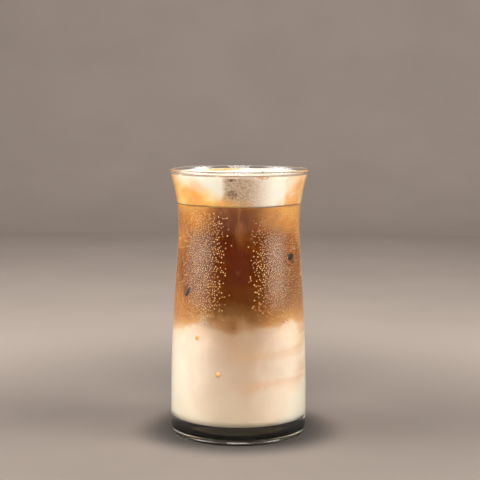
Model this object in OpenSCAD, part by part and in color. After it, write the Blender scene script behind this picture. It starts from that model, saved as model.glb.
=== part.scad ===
// Latte served in one clear waisted tumbler: cold milk at the bottom, a cloudy band
// where milk and coffee mingle, dark coffee above it, and a thick cap of milk foam.
// Every piece is turned about the Z axis. Millimetres, standing on Z = 0.

/* [Glass] */
// Overall height of the glass
glass_h = 140; // [125:1:155]
// Outer radius of the flared rim
rim_r = 36.8; // [35:0.1:39]
// Outer radius at the narrow waist
waist_r = 31.7; // [30:0.1:33]
// Outer radius of the full lower body
belly_r = 36; // [34.5:0.1:38]
// Height of the waist above the table
waist_z = 108; // [100:1:114]
// Height below which the body keeps its full width
belly_z = 14; // [12:1:24]
// How slowly the side leaves the waist
waist_hold = 1.4; // [1.2:0.05:1.7]
// How early the side reaches its full width
belly_hold = 2.7; // [2:0.1:3.4]
// Thickness of the side wall and of the round lip
wall_t = 2; // [1.6:0.1:2.4]

/* [Glass base] */
// Height of the inside floor above the table
base_t = 9; // [8:0.5:11]
// Height of the rounded heel
heel_h = 7; // [5:0.5:9]
// How far the heel draws in at the table
heel_in = 1.9; // [1.2:0.1:2.4]
// Radius of the hollow under the base
punt_r = 31.5; // [28:0.5:32]
// Depth of the hollow under the base
punt_h = 5; // [3:0.5:6.5]
// Rounding of the inside corner at the floor
corner_r = 4; // [3:0.5:5]

/* [Drink] */
// Height where the white milk ends
milk_top = 34; // [26:1:40]
// Height where the cloudy mixed band ends
blend_top = 62; // [52:1:70]
// Height where the coffee ends and the foam starts
coffee_top = 122; // [112:0.5:126]

/* [Foam] */
// Height of the foam at the wall, below the top of the glass
foam_edge_drop = 1.8; // [1.4:0.1:3]
// Height of the foam's crown, below the top of the glass
foam_crown_drop = 0.3; // [0.2:0.1:1]

/* [Hidden] */

eps = 0.01;
side_steps = 44;
heel_steps = 6;
lip_steps = 8;
corner_steps = 6;
punt_steps = 10;
crown_steps = 8;
lip_r = wall_t / 2;
lip_z = glass_h - lip_r;
floor_z = base_t;
corner_z = floor_z + corner_r;
foam_edge_z = glass_h - foam_edge_drop;
foam_crown_z = glass_h - foam_crown_drop;
slab_r = rim_r + 5;
$fn = 96;

// outer radius of the side at height z, heel left out: a flare over the waist, a
// slow swell below it
function side_r(z) =
    z > waist_z ? waist_r + (rim_r - waist_r) * pow((z - waist_z) / (glass_h - waist_z), 2)
    : z > belly_z ? waist_r + (belly_r - waist_r) * swell((waist_z - z) / (waist_z - belly_z))
    : belly_r;
function swell(t) = 1 - pow(1 - pow(t, waist_hold), belly_hold);

function inner_r(z) = side_r(z) - wall_t;
function between(a, b, i, n) = a + (b - a) * i / n;

// the parts of the section, in the order they are met on the way round; the hollow
// underneath is a superellipse, nearly flat on top and steep at the foot ring
punt_pts = [for (i = [0 : punt_steps])
    let (a = 90 * i / punt_steps) [punt_r * sqrt(sin(a)), punt_h * sqrt(cos(a))]];
heel_pts = [for (i = [0 : heel_steps])
    let (a = 90 * i / heel_steps)
    [belly_r - heel_in * (1 - sin(a)), heel_h * (1 - cos(a))]];
outer_pts = [for (i = [1 : side_steps])
    let (z = between(heel_h, lip_z, i, side_steps)) [side_r(z), z]];
lip_pts = [for (i = [1 : lip_steps - 1])
    let (a = 180 * i / lip_steps)
    [side_r(lip_z) - lip_r + lip_r * cos(a), lip_z + lip_r * sin(a)]];
inner_pts = [for (i = [side_steps : -1 : 0])
    let (z = between(corner_z, lip_z, i, side_steps)) [inner_r(z), z]];
corner_pts = [for (i = [1 : corner_steps])
    let (a = 90 * i / corner_steps)
    [inner_r(corner_z) - corner_r * (1 - cos(a)), corner_z - corner_r * sin(a)]];

// the clear tumbler with its thick base, round heel and round lip
module glass() {
    color([0.86, 0.9, 0.88, 0.35])
        rotate_extrude()
            polygon(concat(punt_pts, heel_pts, outer_pts, lip_pts, inner_pts, corner_pts,
                [[0, floor_z]]));
}

// all the room inside the glass, up to the start of the lip
module hollow() {
    rotate_extrude()
        polygon(concat([[0, lip_z]], inner_pts, corner_pts, [[0, floor_z]]));
}

// the part of the hollow from height z1 up to height z2
module fill(z1, z2) {
    intersection() {
        hollow();
        translate([0, 0, z1])
            cylinder(h = z2 - z1, r = slab_r);
    }
}

// cold milk, from the floor up
module milk() {
    color([0.96, 0.9, 0.8])
        fill(floor_z - eps, milk_top);
}

// the band where coffee sinks into the milk
module blend() {
    color([0.86, 0.7, 0.52])
        fill(milk_top, blend_top);
}

// the coffee proper
module coffee() {
    color([0.5, 0.27, 0.1])
        fill(blend_top, coffee_top);
}

// milk foam with a low crown, filling the flare up to the lip
module foam() {
    crown_pts = [for (i = [0 : crown_steps])
        let (r = slab_r * (1 - i / crown_steps))
        [r, foam_crown_z - (foam_crown_z - foam_edge_z) * pow(r / inner_r(foam_edge_z), 2)]];
    color([0.97, 0.93, 0.86])
        intersection() {
            rotate_extrude()
                polygon(concat([[0, coffee_top], [slab_r, coffee_top]], crown_pts));
            union() {
                hollow();
                translate([0, 0, lip_z])
                    cylinder(h = lip_r, r = inner_r(lip_z));
            }
        }
}

glass();
milk();
blend();
coffee();
foam();
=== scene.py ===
# %% [markdown]
# # A layered latte in its own tumbler
# A cold latte is a small show of fluid mechanics. Cold milk is heavy and stays at the
# bottom, coffee floats on it, the two mingle in soft level streaks, and a cap of milk
# foam closes the glass. We turn the tumbler, the drink and the foam as three bodies,
# then add what makes a cold drink believable: dew on the outside, a few specks of
# ground coffee, and light from three soft panels.
#
# The frame comes first. It holds the solids at their real size, and the heights of the
# layers are read from it.

# %% Load the frame
import math
import random

import bmesh
import bpy
from mathutils import Matrix, Vector, noise


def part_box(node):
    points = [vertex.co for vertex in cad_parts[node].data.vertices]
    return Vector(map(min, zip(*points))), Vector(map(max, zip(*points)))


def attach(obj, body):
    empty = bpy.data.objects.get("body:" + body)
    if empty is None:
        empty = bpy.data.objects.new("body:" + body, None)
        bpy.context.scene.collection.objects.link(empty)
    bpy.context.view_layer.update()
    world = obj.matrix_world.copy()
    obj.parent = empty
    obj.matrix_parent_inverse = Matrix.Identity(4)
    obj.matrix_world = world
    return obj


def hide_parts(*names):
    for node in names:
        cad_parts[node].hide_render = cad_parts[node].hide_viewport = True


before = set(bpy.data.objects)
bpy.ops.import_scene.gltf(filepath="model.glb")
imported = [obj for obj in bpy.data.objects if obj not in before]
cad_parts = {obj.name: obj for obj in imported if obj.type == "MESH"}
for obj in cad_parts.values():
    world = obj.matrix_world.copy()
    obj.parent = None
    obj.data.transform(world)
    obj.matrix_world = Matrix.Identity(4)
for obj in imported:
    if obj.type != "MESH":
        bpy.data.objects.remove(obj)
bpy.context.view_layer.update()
MM = 0.001

GLASS_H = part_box("glass")[1].z
COFFEE_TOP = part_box("coffee")[1].z
FOAM_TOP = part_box("foam")[1].z
print("glass %.1f mm high, foam from %.1f to %.1f mm" % (GLASS_H / MM, COFFEE_TOP / MM, FOAM_TOP / MM))

# %% [markdown]
# ## The side of the glass
# Pressed tumblers are turned shapes. This side is full and nearly upright low down,
# draws in to a waist, and flares to the rim. Two short formulas describe it: a parabola
# above the waist and a slow swell below. Every other piece, from the drink to the dew,
# asks the same function where the wall is, so nothing can drift off it.

# %% The outline of the side
RIM_R = 36.8 * MM
WAIST_R = 31.7 * MM
BELLY_R = 36.0 * MM
WAIST_Z = 108 * MM
BELLY_Z = 14 * MM
WAIST_HOLD = 1.4
BELLY_HOLD = 2.7
WALL = 2.0 * MM


def side_r(z):
    """Outer radius of the glass at height z, leaving the heel out."""
    if z > WAIST_Z:
        return WAIST_R + (RIM_R - WAIST_R) * ((z - WAIST_Z) / (GLASS_H - WAIST_Z)) ** 2
    if z > BELLY_Z:
        t = (WAIST_Z - z) / (WAIST_Z - BELLY_Z)
        return WAIST_R + (BELLY_R - WAIST_R) * (1 - (1 - t**WAIST_HOLD) ** BELLY_HOLD)
    return BELLY_R


def inner_r(z):
    """Radius of the room inside at height z."""
    return side_r(z) - WALL


def levels(low, high, count):
    """Evenly spaced values from low to high, both ends included."""
    return [low + (high - low) * i / count for i in range(count + 1)]


print("waist %.1f mm across, rim %.1f mm" % (2 * side_r(WAIST_Z) / MM, 2 * side_r(GLASS_H) / MM))

# %% [markdown]
# ## Turning a body
# A lathe needs half a section and an axis. In bmesh that is a chain of vertices joined
# by edges and one call to spin with use_merge, which closes the last step onto the
# first. Points on the axis come out as a stack of doubles, so those are merged, and only
# then are the normals recalculated: across unmerged seams they can turn inside out.

# %% The lathe
STEPS = 128


def finish_mesh(bm, name):
    """Turns a bmesh into a smooth-shaded object at the origin."""
    for face in bm.faces:
        face.smooth = True
    mesh = bpy.data.meshes.new(name)
    bm.to_mesh(mesh)
    bm.free()
    thing = bpy.data.objects.new(name, mesh)
    bpy.context.scene.collection.objects.link(thing)
    print("%s: %d faces" % (name, len(mesh.polygons)))
    return thing


def lathe(chain, steps=STEPS, angle=math.tau):
    """A bmesh turned about the Z axis from a chain of (radius, height) points."""
    bm = bmesh.new()
    verts = [bm.verts.new((r, 0, z)) for r, z in chain]
    edges = [bm.edges.new(pair) for pair in zip(verts, verts[1:])]
    bmesh.ops.spin(bm, geom=verts + edges, cent=(0, 0, 0), axis=(0, 0, 1),
                   angle=angle, steps=steps, use_merge=angle == math.tau)
    bmesh.ops.remove_doubles(bm, verts=bm.verts, dist=0.001 * MM)
    bmesh.ops.recalc_face_normals(bm, faces=bm.faces)
    return bm


def arc(centre_r, centre_z, half_w, half_h, start, end, count):
    """Points of an elliptical arc, angles in degrees from the outward direction."""
    angles = [math.radians(a) for a in levels(start, end, count)]
    return [(centre_r + half_w * math.cos(a), centre_z + half_h * math.sin(a)) for a in angles]


# %% [markdown]
# ## The tumbler
# A clear wall two millimetres thick, a round lip, and a heavy base. The base makes such
# a glass look solid: its heel is rounded, and its underside is a hollow with a nearly
# flat roof and steep sides, so the glass stands on a narrow ring. That ring is the
# bright thread along the bottom edge. We follow the section once round, from the middle
# of the hollow to the heel, up the side, over the lip, and down again inside.

# %% Make the tumbler
PUNT_R = 31.5 * MM
PUNT_H = 5 * MM
HEEL_H = 7 * MM
HEEL_IN = 1.9 * MM
CORNER_R = 4 * MM
FLOOR_Z = 9 * MM
LIP_R = WALL / 2
LIP_Z = GLASS_H - LIP_R
CORNER_Z = FLOOR_Z + CORNER_R

hollow = [(PUNT_R * math.sqrt(math.sin(a)), PUNT_H * math.sqrt(math.cos(a)))
          for a in levels(0, math.pi / 2 - 1e-6, 20)]
heel = arc(BELLY_R - HEEL_IN, HEEL_H, HEEL_IN, HEEL_H, -90, 0, 12)
side = [(side_r(z), z) for z in levels(HEEL_H, LIP_Z, 72)[1:]]
lip = arc(side_r(LIP_Z) - LIP_R, LIP_Z, LIP_R, LIP_R, 0, 180, 12)[1:-1]
inside = [(inner_r(z), z) for z in levels(LIP_Z, CORNER_Z, 72)]
corner = arc(inner_r(CORNER_Z) - CORNER_R, CORNER_Z, CORNER_R, CORNER_R, 0, -90, 8)[1:]
tumbler = finish_mesh(lathe(hollow + heel + side + lip + inside + corner + [(0, FLOOR_Z)]), "tumbler")

# %% [markdown]
# ## The drink
# Milk, the mingled band and the coffee are one liquid. There is no skin between them,
# only a change of colour, so one body stands for all three and its colour changes with
# height. It reaches a little way into the wall of the glass. If it stopped exactly at
# the wall, a film of air would show there as a silvery line.

# %% Make the drink
BITE = 0.15 * MM


def wall_chain(low, high, count):
    """Points just inside the glass wall, from low to high."""
    return [(inner_r(z) + BITE, z) for z in levels(low, high, count)]


floor_turn = arc(inner_r(CORNER_Z) - CORNER_R, CORNER_Z, CORNER_R + BITE, CORNER_R + BITE, -90, 0, 8)
drink = finish_mesh(lathe([(0, FLOOR_Z - BITE)] + floor_turn + wall_chain(CORNER_Z, COFFEE_TOP, 72)[1:]
                          + [(0, COFFEE_TOP)]), "drink")

# %% [markdown]
# ## The foam
# Milk foam is spooned on, so its top is never a clean dome. We turn a low crown with
# rings close together and then push each vertex of the top by a smooth noise. The push
# fades out at the wall, where the foam clings to the glass.

# %% Make the foam
FOAM_EDGE_Z = GLASS_H - 1.8 * MM
FOAM_PUSH = 0.34 * MM

foam_rim = inner_r(FOAM_EDGE_Z) + BITE
crown = [(foam_rim * t, FOAM_TOP - (FOAM_TOP - FOAM_EDGE_Z) * t * t) for t in levels(1, 0, 40)]
bm = lathe([(0, COFFEE_TOP)] + wall_chain(COFFEE_TOP, FOAM_EDGE_Z, 16) + crown[1:])
for vert in bm.verts:
    if vert.co.z > FOAM_EDGE_Z - 0.01 * MM:
        broad = noise.noise(vert.co * 55 + Vector((3, 1, 0)))
        small = noise.noise(vert.co * 260)
        inward = 1 - (vert.co.xy.length / foam_rim) ** 6
        vert.co.z += FOAM_PUSH * (broad + 0.35 * small - 0.35) * inward
foam = finish_mesh(bm, "foam_cap")

# %% [markdown]
# ## Dew
# Cold glass gathers beads of water. They are small, they keep apart because touching
# beads merge, and they are missing where a hand has wiped the front. A particle system
# could scatter them, but it would be lost on export, so the beads are real mesh. Their
# places come first: every spot on the wall has a chance of dew, from its height, how far
# round it lies, and a little noise.

# %% Where the dew sits
DEW_TRIES = 90000
DEW_MOST = 3900
CELL = 1.25 * MM
WIPED_HALF = 20
BAND_AT = 37
BAND_WIDE = 17


def ease(value, low, high):
    """0 below low, 1 above high, smooth between."""
    t = min(1, max(0, (value - low) / (high - low)))
    return t * t * (3 - 2 * t)


def on_wall(azimuth, z, depth=0.0):
    """A point on the outside of the glass. Azimuth 0 is the front, 90 the viewer's right."""
    a = math.radians(azimuth)
    r = side_r(z) - depth
    return Vector((r * math.sin(a), -r * math.cos(a), z))


def dew_chance(azimuth, z):
    """How likely a bead is to sit here, from 0 to 1."""
    upright = ease(z, 61 * MM, 77 * MM) * (1 - ease(z, 110 * MM, 121 * MM))
    wiped = 1 - math.exp(-abs(azimuth / WIPED_HALF) ** 3)
    band = 0.1 + 0.9 * math.exp(-(((abs(azimuth) - BAND_AT) / BAND_WIDE) ** 2))
    patch = 0.6 + 0.6 * noise.noise(on_wall(azimuth, z) * 70)
    return upright * wiped * band * min(1, max(0.05, patch + 0.25))


# %% [markdown]
# ## Beads that keep apart
# Places are drawn by chance, and each is kept as often as dew is likely there. A bead that
# would touch another is dropped. To measure against thousands of beads would be slow, so
# a grid of cells finds the few that are near. Two larger beads are placed one by one, and
# the two larger specks keep a clearing round them, so that they can be seen.

# %% Choose the beads
GAP = 0.14 * MM
DEW_SMALL = 0.29
DEW_RANGE = 0.19
LEFT_SPECK = (-53, 77.5 * MM)
RIGHT_SPECK = (57, 95.3 * MM)
CLEARING = 3.2 * MM
rng = random.Random(11)
cells = {}
chosen = [(on_wall(-37.5, 55 * MM), 1.1, 1.1), (on_wall(-17, 37 * MM), 1.3, 1.15)]


def has_room(place, size):
    """True if a bead here would keep clear of its neighbours and the two larger specks."""
    if min((place - on_wall(*spot)).length for spot in (LEFT_SPECK, RIGHT_SPECK)) < CLEARING:
        return False
    home = [round(c / CELL) for c in place]
    around = [(home[0] + i, home[1] + j, home[2] + k)
              for i in (-1, 0, 1) for j in (-1, 0, 1) for k in (-1, 0, 1)]
    near = [bead for cell in around for bead in cells.get(cell, [])]
    return all((place - other).length > (size + wide) * MM + GAP for other, wide in near)


for _ in range(DEW_TRIES):
    azimuth = rng.uniform(-180, 180)
    z = rng.uniform(20 * MM, 124 * MM)
    size = DEW_SMALL + DEW_RANGE * rng.random() ** 2
    place = on_wall(azimuth, z)
    if len(chosen) < DEW_MOST and rng.random() < dew_chance(azimuth, z) and has_room(place, size):
        cells.setdefault(tuple(round(c / CELL) for c in place), []).append((place, size))
        chosen.append((place, size, rng.uniform(1, 1.1)))
print("beads of dew:", len(chosen))

# %% [markdown]
# ## The beads as mesh
# Each bead is one low ball with a few dozen faces, pressed flat and half sunk in the wall.
# An operator walks the whole mesh it works on, so thousands of beads in one bmesh would
# take minutes: they are made a handful at a time and joined.

# %% Make the dew
HANDFUL = 60
RELIEF = 0.5


def add_bead(bm, place, size, droop):
    """One flattened ball on the wall, droop times as tall as wide."""
    turn = Vector((place.x, place.y, 0)).to_track_quat("Z", "Y").to_matrix().to_4x4()
    press = Matrix.Diagonal((size * MM, size * droop * MM, size * RELIEF * MM, 1))
    bmesh.ops.create_uvsphere(bm, u_segments=8, v_segments=4, radius=1,
                              matrix=Matrix.Translation(place) @ turn @ press)


all_dew = bmesh.new()
for start in range(0, len(chosen), HANDFUL):
    bm = bmesh.new()
    for bead in chosen[start:start + HANDFUL]:
        add_bead(bm, *bead)
    handful = bpy.data.meshes.new("handful")
    bm.to_mesh(handful)
    bm.free()
    all_dew.from_mesh(handful)
    bpy.data.meshes.remove(handful)
dew = finish_mesh(all_dew, "dew")

# %% [markdown]
# ## Specks of coffee
# A few grounds escape the filter. Three cling to the wall, and three lie on the foam. Those
# at the wall are sunk a little into it, so that the drink doesn't hide them. Each is a
# ball pulled out of shape by noise, stretched, and turned, which is enough for a thing
# a millimetre or a few across.

# %% Make the specks
SPECK_SINK = 0.05 * MM
SPECK_DEPTH = 1.75 * MM


def add_speck(bm, place, size, tilt, seed):
    """One rough speck. Size is half its width, height and thickness in millimetres."""
    made = bmesh.ops.create_icosphere(bm, subdivisions=2, radius=1)
    for vert in made["verts"]:
        vert.co *= 1 + 0.35 * noise.noise(vert.co * 1.7 + Vector((seed, 0, 0)))
    outward = Vector((place.x, place.y, 0)).to_track_quat("Z", "Y").to_matrix().to_4x4()
    turn = outward @ Matrix.Rotation(math.radians(tilt), 4, "Z")
    stretch = Matrix.Diagonal((size[0] * MM, size[1] * MM, size[2] * MM, 1))
    bmesh.ops.transform(bm, matrix=Matrix.Translation(place) @ turn @ stretch, verts=made["verts"])


def on_foam(x, y):
    """A point just under the foam's crown, x and y in millimetres."""
    t = math.hypot(x * MM, y * MM) / foam_rim
    return Vector((x * MM, y * MM, FOAM_TOP - (FOAM_TOP - FOAM_EDGE_Z) * t * t - SPECK_SINK))


bm = bmesh.new()
add_speck(bm, on_wall(*LEFT_SPECK, SPECK_DEPTH), (1.1, 3.5, 0.5), -36, 2)
add_speck(bm, on_wall(*RIGHT_SPECK, SPECK_DEPTH), (2.7, 1.9, 0.6), 10, 5)
add_speck(bm, on_wall(61, 92.2 * MM, SPECK_DEPTH), (0.8, 0.9, 0.5), 0, 8)
add_speck(bm, on_foam(-15, 6), (0.6, 0.4, 0.4), 20, 11)
add_speck(bm, on_foam(-7.5, -8), (0.4, 0.35, 0.9), 0, 14)
add_speck(bm, on_foam(12, -20), (0.9, 0.4, 0.4), 80, 17)
specks = finish_mesh(bm, "coffee_specks")

# %% [markdown]
# ## Writing materials as sums
# A pattern is arithmetic on position, and wiring it by hand hides that. One small class
# wraps a socket and overloads the operators, so an expression on values adds its Math
# nodes by itself. Every other node comes from one method. The same class writes the
# nodes of a lamp.

# %% A small language for nodes
class Value:
    """One shader value. Arithmetic on it adds Math nodes to its tree."""

    def __init__(self, nodes, socket):
        self.nodes = nodes
        self.socket = socket

    def __add__(self, other):
        return self.nodes.math("ADD", self, other)

    def __sub__(self, other):
        return self.nodes.math("SUBTRACT", self, other)

    def __rsub__(self, other):
        return self.nodes.math("SUBTRACT", other, self)

    def __mul__(self, other):
        return self.nodes.math("MULTIPLY", self, other)

    def __truediv__(self, other):
        return self.nodes.math("DIVIDE", self, other)

    def __rtruediv__(self, other):
        return self.nodes.math("DIVIDE", other, self)

    def __pow__(self, other):
        return self.nodes.math("POWER", self, other)

    def __abs__(self):
        return self.nodes.math("ABSOLUTE", self)

    __radd__ = __add__
    __rmul__ = __mul__


class Nodes:
    """The calls that write the nodes of one tree."""

    def __init__(self, tree):
        self.tree = tree

    def node(self, kind, settings=None, **sockets):
        """Adds a node: its settings first, then the values or links of its sockets."""
        made = self.tree.nodes.new("ShaderNode" + kind)
        for key, value in (settings or {}).items():
            if key == "stops":
                self.set_stops(made.color_ramp, value)
            else:
                setattr(made, key, value)
        for key, value in sockets.items():
            index = int(key[1:]) if key[1:].isdigit() else key.replace("_", " ")
            self.feed(made.inputs[index], value)
        return made

    def set_stops(self, ramp, stops):
        while len(ramp.elements) < len(stops):
            ramp.elements.new(0.5)
        for element, (place, colour) in zip(ramp.elements, stops):
            element.position = place
            element.color = (*colour, 1)

    def feed(self, socket, value):
        """Links a value or a socket, or sets a plain number or colour."""
        if isinstance(value, Value):
            value = value.socket
        if isinstance(value, bpy.types.NodeSocket):
            self.tree.links.new(value, socket)
        else:
            socket.default_value = value

    def math(self, operation, *operands):
        sockets = {"i%d" % i: o for i, o in enumerate(operands)}
        return Value(self, self.node("Math", {"operation": operation}, **sockets).outputs[0])

    def parts(self, vector):
        """The three parts of a vector."""
        return [Value(self, o) for o in self.node("SeparateXYZ", i0=vector).outputs]

    def between(self, value, low, high):
        """0 below low, 1 above high, and a smooth change from one to the other."""
        made = self.node("MapRange", {"interpolation_type": "SMOOTHSTEP"},
                         i0=value, i1=low, i2=high, i3=0.0, i4=1.0)
        return Value(self, made.outputs[0])


class Finish(Nodes):
    """A material with one Principled shader."""

    def __init__(self, name, **constants):
        self.material = bpy.data.materials.new(name)
        self.material.use_nodes = True
        super().__init__(self.material.node_tree)
        self.shader = self.tree.nodes["Principled BSDF"]
        for socket, value in constants.items():
            self.shader.inputs[socket.replace("_", " ")].default_value = value

    def set(self, socket, value):
        self.feed(self.shader.inputs[socket], value)

    def place(self):
        """Object coordinates, and their three parts in millimetres."""
        spot = self.node("TexCoord").outputs["Object"]
        return spot, [part / MM for part in self.parts(spot)]

    def stretch(self, vector, scale):
        return self.node("Mapping", i0=vector, Scale=scale).outputs[0]

    def noise(self, vector, scale, detail=2.0, distortion=0.0):
        made = self.node("TexNoise", None, Vector=vector, Scale=scale, Detail=detail,
                         Distortion=distortion)
        return Value(self, made.outputs[0])

    def bubbles(self, vector, scale):
        """Distance to the middle of the nearest cell, in cells."""
        return Value(self, self.node("TexVoronoi", None, Vector=vector, Scale=scale).outputs["Distance"])

    def ramp(self, value, stops):
        return self.node("ValToRGB", {"stops": stops}, i0=value).outputs[0]

    def mix(self, factor, first, second):
        made = self.node("Mix", {"data_type": "RGBA"}, i0=factor, i6=first, i7=second)
        return made.outputs[2]

    def bump(self, height, strength, distance):
        return self.node("Bump", None, Height=height, Strength=strength, Distance=distance).outputs[0]

    def wear(self, thing):
        thing.data.materials.clear()
        thing.data.materials.append(self.material)


def srgb(red, green, blue):
    """A colour as seen, on a scale of 255, as the linear values that a shader takes."""
    parts = [c / 255 for c in (red, green, blue)]
    return tuple(p / 12.92 if p <= 0.04045 else ((p + 0.055) / 1.055) ** 2.4 for p in parts)


def paint(red, green, blue):
    """The same as a colour socket's four numbers."""
    return (*srgb(red, green, blue), 1)


def off_axis(x, y):
    """How far a point lies from the glass's axis."""
    return (x * x + y * y) ** 0.5


# %% [markdown]
# ## Clear glass
# Thick soda-lime glass isn't colourless. Through a wall the tint is too weak to see, but
# the base is looked at along its whole width, and there it turns a smoky olive. Volume
# absorption does exactly that: the colour deepens with the length of the path. The
# hollow underneath is in deep shadow, so its skin is painted dark as a painted shadow.
# Between the beads of dew the glass is misted, which is roughness.

# %% Finish the glass
SMOKY_OLIVE = (0.30, 0.27, 0.19, 1)
SMOKE = 26.0
MIST_ROUGH = 0.24

clear = Finish("clear_glass", Transmission_Weight=1.0, IOR=1.5)
spot, (x, y, z) = clear.place()
from_axis = off_axis(x, y)
sideways = abs(x) / from_axis
mist = clear.between(sideways + (clear.noise(spot, 55) - 0.5) * 0.5, 0.25, 0.5)
mist = mist * clear.between(z, 62, 76) * (1 - clear.between(z, 108, 118))
clear.set("Roughness", clear.noise(spot, 60) * 0.03 + mist * MIST_ROUGH)
# painted shadow: the skin of the hollow under the base is painted dark
under = 1 - clear.between(from_axis, PUNT_R / MM - 0.5, PUNT_R / MM + 0.1)
under = under * (1 - clear.between(z, PUNT_H / MM + 0.2, PUNT_H / MM + 0.6))
clear.set("Base Color", clear.mix(under, (1, 1, 1, 1), paint(70, 62, 48)))
tint = clear.node("VolumeAbsorption", None, Color=SMOKY_OLIVE, Density=SMOKE)
clear.tree.links.new(tint.outputs[0], clear.tree.nodes["Material Output"].inputs["Volume"])
clear.wear(tumbler)

# %% [markdown]
# ## The layered liquid
# The colour of a layered drink runs with height, and it also runs around the glass.
# Where the wall turns away at the left and right the light has little coffee to cross
# and comes out amber, and in the middle it comes out nearly black. We paint both with
# two ramps over height, one for the middle and one for the edge, and mix them by how far
# a point lies to the side. Noise bends the height first, mostly sideways, so the borders
# become level, drifting streaks. Subsurface scattering makes it soft and milky. A deeper
# tone lies under the misted bands, where it sets off the beads.
#
# The thick base works as a mirror: looking into it from the side, one sees the underside
# of the milk by total reflection. Its border shows above and below, nearly black in the
# shadow of the foot, and its middle shows between them as a thin olive band. Both are
# painted.

# %% Finish the drink
liquid = Finish("layered_drink", Roughness=0.35, Specular_IOR_Level=0.1,
                Subsurface_Weight=1.0, Subsurface_Scale=1.0,
                Subsurface_Radius=(0.0013, 0.0011, 0.0009))
spot, (x, y, z) = liquid.place()
streaks = liquid.noise(liquid.stretch(spot, (16, 16, 75)), 1.0, detail=4.0, distortion=0.6)
clouds = liquid.noise(spot, 42, detail=5.0, distortion=0.8)
lobes = liquid.noise(spot, 24, detail=1.0, distortion=0.5)
wisps = liquid.noise(liquid.stretch(spot, (70, 70, 38)), 1.0, detail=6.0, distortion=1.4)
from_axis = off_axis(x, y)
sideways = abs(x) / from_axis
edgeward = liquid.between(sideways + (clouds - 0.5) * 0.8, 0.12, 0.92)
bend = (streaks - 0.5) * 18 + (clouds - 0.5) * 30 + (lobes - 0.5) * 32
height = (z + bend) / (COFFEE_TOP / MM)


def stops(*pairs):
    """Ramp stops from (height in millimetres, colour) pairs."""
    return [(high * MM / COFFEE_TOP, srgb(*colour)) for high, colour in pairs]


middle = liquid.ramp(height, stops(
    (14, (224, 207, 182)), (28, (219, 200, 176)), (38, (211, 188, 164)), (48, (204, 178, 151)),
    (56, (196, 166, 136)), (61, (178, 134, 90)), (66, (142, 98, 50)), (75, (116, 60, 6)),
    (95, (106, 34, 0)), (112, (124, 62, 0)), (121, (142, 82, 0))))
edge = liquid.ramp(height, stops(
    (14, (253, 238, 220)), (36, (253, 240, 224)), (49, (253, 238, 220)), (57, (250, 230, 204)),
    (63, (222, 172, 112)), (70, (200, 142, 78)), (82, (184, 120, 44)), (93, (152, 82, 6)),
    (103, (162, 92, 6)), (112, (214, 150, 60)), (121, (230, 174, 94))))
base = liquid.mix(edgeward, middle, edge)
in_coffee = liquid.between(z, 62, 78)
veined = liquid.between(wisps, 0.5, 0.74) * in_coffee * 0.32
base = liquid.mix(veined, base, paint(212, 148, 66))
misted = liquid.between(sideways, 0.25, 0.45) * (1 - liquid.between(sideways, 0.78, 0.95))
misted = misted * liquid.between(z, 66, 78) * (1 - liquid.between(z, 104, 114))
base = liquid.mix(misted * 0.55, base, paint(118, 64, 14))
dusk = liquid.between(x, 12, 24) * liquid.between(z, 64, 74) * (1 - liquid.between(z, 82, 96))
base = liquid.mix(dusk * 0.5, base, paint(118, 72, 44))
swirl = liquid.between(streaks + (lobes - 0.5) * 0.4, 0.44, 0.72)
mingled = liquid.between(x, -12, 16) * liquid.between(z, 22, 32) * (1 - liquid.between(z, 52, 62))
base = liquid.mix(swirl * mingled * 0.65, base, paint(228, 184, 134))
shade = liquid.mix(liquid.between(from_axis, 14, 18), paint(255, 222, 166), paint(10, 8, 6))
underneath = 1 - liquid.between(z, 8.95, 9.5)
liquid.set("Base Color", liquid.mix(underneath, base, shade))
liquid.wear(drink)

# %% [markdown]
# ## Milk foam
# Seen through the wall, foam is white where it is thick and stained amber where coffee
# has crept up beside the glass. Fine bubbles give it a grain that plain noise can't, so
# a Voronoi pattern marks the cells. The top is painted greyer than the sides as painted
# shade, and has one soft stain left of the middle. A thin dark ring at the wall is painted
# shade, which the lip shows as a dark line under its highlight. The front shows a thin
# dark line at the foot of the foam, two brown marks and one ochre patch.

# %% Finish the foam
froth = Finish("milk_foam", Roughness=0.7, Subsurface_Weight=1.0, Subsurface_Scale=1.0,
               Subsurface_Radius=(0.0016, 0.0014, 0.0012), Specular_IOR_Level=0.2)
spot, (x, y, z) = froth.place()
fine = froth.noise(spot, 900, detail=4.0)
drift = froth.noise(spot, 75, detail=4.0, distortion=0.5)
cells = froth.bubbles(spot, 1100)


def front_mark(centre_x, centre_z, half_x, half_z):
    """1 inside an oval on the front of the foam, fading to 0 at its edge. Millimetres."""
    across = (x - centre_x) / half_x
    up = (z - centre_z) / half_z
    reach = across * across + up * up + (drift - 0.5) * 1.2
    return (1 - froth.between(reach, 0.35, 1.1)) * (1 - froth.between(y, -20, -12))


white = froth.mix(fine, paint(255, 250, 240), paint(252, 240, 222))
greyed = froth.between(x + (drift - 0.5) * 4, -9.5, -6.5) * (1 - froth.between(x, 2, 19))
greyed = greyed * (1 - froth.between(y, -14, -6)) * (1 - froth.between(z, 136.5, 138.2))
grain = froth.mix(froth.between(cells, 0.15, 0.75), paint(218, 198, 174), paint(186, 160, 132))
tone = froth.mix(greyed, white, grain)
rise = z - 129
creep_left = froth.between(-1 * x - rise * 2.2 + (drift - 0.5) * 26, 2, 26)
creep_right = froth.between(x - rise * 0.5 + (drift - 0.5) * 28, 19, 33)
amber = froth.mix(froth.between(drift, 0.36, 0.64), paint(255, 211, 112), paint(241, 170, 66))
tone = froth.mix(creep_left * 0.92, tone, amber)
tone = froth.mix(creep_right * 0.85, tone, amber)
# a thin dark line at the foot of the foam, stronger towards the sides
foot_line = 1 - froth.between(abs(z - 122.3 - (drift - 0.5) * 1.2), 0.1, 0.6)
sideward = froth.between(abs(x) + (drift - 0.5) * 12, 6, 24)
tone = froth.mix(foot_line * (0.25 + sideward * 0.5), tone, paint(128, 84, 44))
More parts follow.
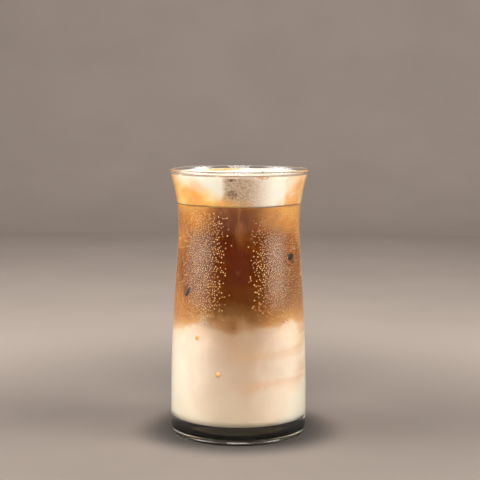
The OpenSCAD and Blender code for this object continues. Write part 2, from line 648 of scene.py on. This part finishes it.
for mark, colour in ((front_mark(-3.8, 136.1, 2.2, 0.8), (104, 78, 60)),
                     (front_mark(-3.3, 128.5, 3.0, 2.6), (134, 100, 72)),
                     (front_mark(11.8, 137.4, 3.6, 1.2), (206, 158, 92))):
    tone = froth.mix(mark * froth.between(fine, 0.3, 0.6) * 0.9, tone, paint(*colour))
# painted shade: the top of the foam is painted greyer than its sides, against the light from above
top = froth.between(z, 137.6, 138.3)
top_shade = froth.mix(froth.between(drift, 0.4, 0.62), paint(204, 190, 170), paint(216, 205, 188))
tone = froth.mix(top, tone, top_shade)
# painted shade: a thin dark ring at the wall, seen through the lip as the dark line under its highlight
to_wall = foam_rim / MM - off_axis(x, y)
lip_shade_ring = (1 - froth.between(to_wall, 0.8, 2.2)) * froth.between(z, 137.2, 137.9)
tone = froth.mix(lip_shade_ring * froth.between(drift, 0.2, 0.5) * 0.8, tone, paint(112, 84, 60))
far_x = (x + 8.5) / 10
far_y = (y - 1) / 15
stain = 1 - froth.between(far_x * far_x + far_y * far_y + (drift - 0.5) * 2.2, 0.3, 1.2)
froth.set("Base Color", froth.mix(stain * top * (0.5 + fine * 0.6), tone, paint(204, 140, 76)))
froth.set("Normal", froth.bump(cells + fine * 0.5, 0.35, 0.25 * MM))
froth.wear(foam)

# %% [markdown]
# ## Water and grounds
# Dew is plain water, but each bead gathers light from the sides like a tiny lens and
# shows paler than the drink behind it. A share of plain scattering under the clear part
# gives that glow at a size where a true lens would be lost between samples. Grounds are
# roasted and wet: almost black, rough in grain, with a gloss that comes and goes.

# %% Finish the dew and the specks
water = Finish("dew_water", Transmission_Weight=0.62, IOR=1.33)
spot, _ = water.place()
water.set("Base Color", water.mix(water.noise(spot, 500), paint(250, 208, 148), paint(242, 180, 106)))
water.set("Roughness", water.noise(spot, 300) * 0.04)
water.wear(dew)

ground = Finish("wet_grounds", Specular_IOR_Level=0.3)
spot, _ = ground.place()
grit = ground.noise(spot, 2200, detail=4.0)
ground.set("Base Color", ground.mix(grit, paint(9, 5, 3), paint(36, 21, 13)))
ground.set("Roughness", 0.15 + grit * 0.5)
ground.set("Normal", ground.bump(grit, 0.6, 0.2 * MM))
ground.wear(specks)

# %% [markdown]
# ## Joining the pieces to the frame
# Nothing moves, so every piece rides on the one body. The tumbler, the drink and the
# foam take the places of their plain solids. The dew and the specks are extra.

# %% Ride and replace
for piece, nodes, slot in ((tumbler, ["glass"], "glass"), (drink, ["milk", "blend", "coffee"], "coffee"),
                           (foam, ["foam"], "foam"), (dew, [], "glass"), (specks, [], "coffee")):
    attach(piece, "root")
    if nodes:
        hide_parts(*nodes)

# %% [markdown]
# ## Floor and backdrop
# A sheet of grey-beige paper, turned up in one smooth bend, so that no line shows behind
# the glass. It is turned on the same lathe as the glass, through most of a circle, and
# stays open to the front: a pale wall there would mirror itself in the glass as a veil.
# Under the cold glass the paper is in shadow, and that shadow is painted: the paper is
# painted dark inside the foot ring, where it is seen only through the base, and dim close
# round it.

# %% Make the backdrop
WALL_AWAY = 1.5
BEND = 0.5
WALL_UP = 1.7
OPEN_HALF = 62
FLOOR_R = 3.2

paper_path = [(WALL_AWAY - BEND + BEND * math.sin(a), BEND - BEND * math.cos(a))
              for a in levels(0, math.pi / 2, 16)]
paper_path += [(WALL_AWAY, WALL_UP)]
bm = lathe(paper_path, 72, math.radians(360 - 2 * OPEN_HALF))
bmesh.ops.rotate(bm, verts=bm.verts, cent=(0, 0, 0),
                 matrix=Matrix.Rotation(math.radians(-90 + OPEN_HALF), 3, "Z"))
backdrop = finish_mesh(bm, "backdrop")
bm = bmesh.new()
bmesh.ops.create_circle(bm, cap_ends=True, segments=96, radius=FLOOR_R,
                        matrix=Matrix.Translation((0, 0, -0.05 * MM)))
ground_sheet = finish_mesh(bm, "floor")

paper = Finish("paper", Roughness=0.8)
spot, (x, y, z) = paper.place()
away = off_axis(x, y)
mottle = paper.noise(spot, 9, detail=6.0)
# painted shadow: the paper close round the glass is painted dimmer than further off
shadow = paper.mix(mottle, paint(64, 58, 54), paint(54, 49, 46))
beside = paper.mix(mottle, paint(124, 114, 107), paint(110, 101, 95))
near = paper.mix(paper.between(away + (mottle - 0.5) * 8, 36, 62), shadow, beside)
far = paper.mix(mottle, paint(163, 151, 143), paint(147, 136, 129))
shaded_paper = paper.mix(paper.between(away + (mottle - 0.5) * 80, 110, 330), near, far)
# painted shadow: the paper inside the foot ring is painted nearly black
foot_shadow = 1 - paper.between(away, 30.5, 33)
paper.set("Base Color", paper.mix(foot_shadow, shaded_paper, paint(22, 18, 15)))
for sheet in (backdrop, ground_sheet):
    paper.wear(sheet)

# %% [markdown]
# ## Light
# Two tall soft panels stand upright at the sides, feet on the floor. Each leaves one
# pale streak on the glass, and together they light the drink from the sides, so the
# middle stays deep. A hard-edged panel would leave a hard-edged streak, so each one's
# glow fades towards its borders. A third panel hangs high in front and fills the middle.
# It is so high that an upright wall can't mirror it towards the viewer. Grids keep the
# light of all three off the floor at their own feet.

# %% Make the panels
PANEL_AWAY = 0.9
PANEL_TALL = 1.2
SIDE_SPREAD = math.radians(140)
HIGH_PLACE = (0, -1.0, 0.86)
HIGH_SIZE = 0.8
HIGH_POWER = 7.3
HIGH_SPREAD = math.radians(100)
WARM = (1.0, 0.97, 0.93)


def soft_panel(name, azimuth, width, power, fade):
    """An upright panel facing the glass, its borders fading over the share fade."""
    a = math.radians(azimuth)
    lamp = bpy.data.lights.new(name, "AREA")
    lamp.shape = "RECTANGLE"
    lamp.size = width
    lamp.size_y = PANEL_TALL
    lamp.energy = power
    lamp.spread = SIDE_SPREAD
    lamp.color = WARM
    lamp.use_nodes = True
    nodes = Nodes(lamp.node_tree)
    u, v, _ = nodes.parts(nodes.node("NewGeometry").outputs["Parametric"])
    glow = (nodes.between(0.5 - abs(u - 0.5), 0.0, fade)
            * nodes.between(0.5 - abs(v - 0.5), 0.0, fade * 0.5))
    nodes.feed(lamp.node_tree.nodes["Emission"].inputs["Strength"], glow)
    thing = bpy.data.objects.new(name, lamp)
    thing.location = (PANEL_AWAY * math.sin(a), -PANEL_AWAY * math.cos(a), PANEL_TALL / 2)
    inward = Vector((-math.sin(a), math.cos(a), 0))
    thing.rotation_euler = inward.to_track_quat("-Z", "Y").to_euler()
    bpy.context.scene.collection.objects.link(thing)


soft_panel("panel_left", -80, 1.5, 43, 0.48)
soft_panel("panel_right", 74, 1.0, 36, 0.5)

high = bpy.data.lights.new("panel_high", "AREA")
high.shape = "SQUARE"
high.size = HIGH_SIZE
high.energy = HIGH_POWER
high.spread = HIGH_SPREAD
high.color = WARM
high_panel = bpy.data.objects.new("panel_high", high)
high_panel.location = HIGH_PLACE
downward = Vector((0, 0, GLASS_H / 2)) - high_panel.location
high_panel.rotation_euler = downward.to_track_quat("-Z", "Y").to_euler()
bpy.context.scene.collection.objects.link(high_panel)

world = bpy.data.worlds.new("room_light")
world.use_nodes = True
sky = world.node_tree.nodes["Background"]
sky.inputs["Color"].default_value = (1.0, 0.97, 0.94, 1)
sky.inputs["Strength"].default_value = 0.05
bpy.context.scene.world = world

# %% [markdown]
# ## Camera
# A long lens from a little above the rim, far enough back to keep the sides of the
# glass nearly parallel.

# %% Make the camera
CAMERA_BACK = 682.9 * MM
CAMERA_UP = 179.0 * MM
CAMERA_SIDE = 0.55 * MM
LOOK_DOWN = 6.42
ROLL = 0.2
LENS = 97.5

camera_data = bpy.data.cameras.new("camera")
camera_data.sensor_width = 36
camera_data.lens = LENS
camera = bpy.data.objects.new("camera", camera_data)
camera.matrix_world = (Matrix.Translation((CAMERA_SIDE, -CAMERA_BACK, CAMERA_UP))
                       @ Matrix.Rotation(math.radians(90 - LOOK_DOWN), 4, "X")
                       @ Matrix.Rotation(math.radians(ROLL), 4, "Z"))
bpy.context.scene.collection.objects.link(camera)
bpy.context.scene.camera = camera
bpy.context.scene.view_settings.view_transform = "Standard"
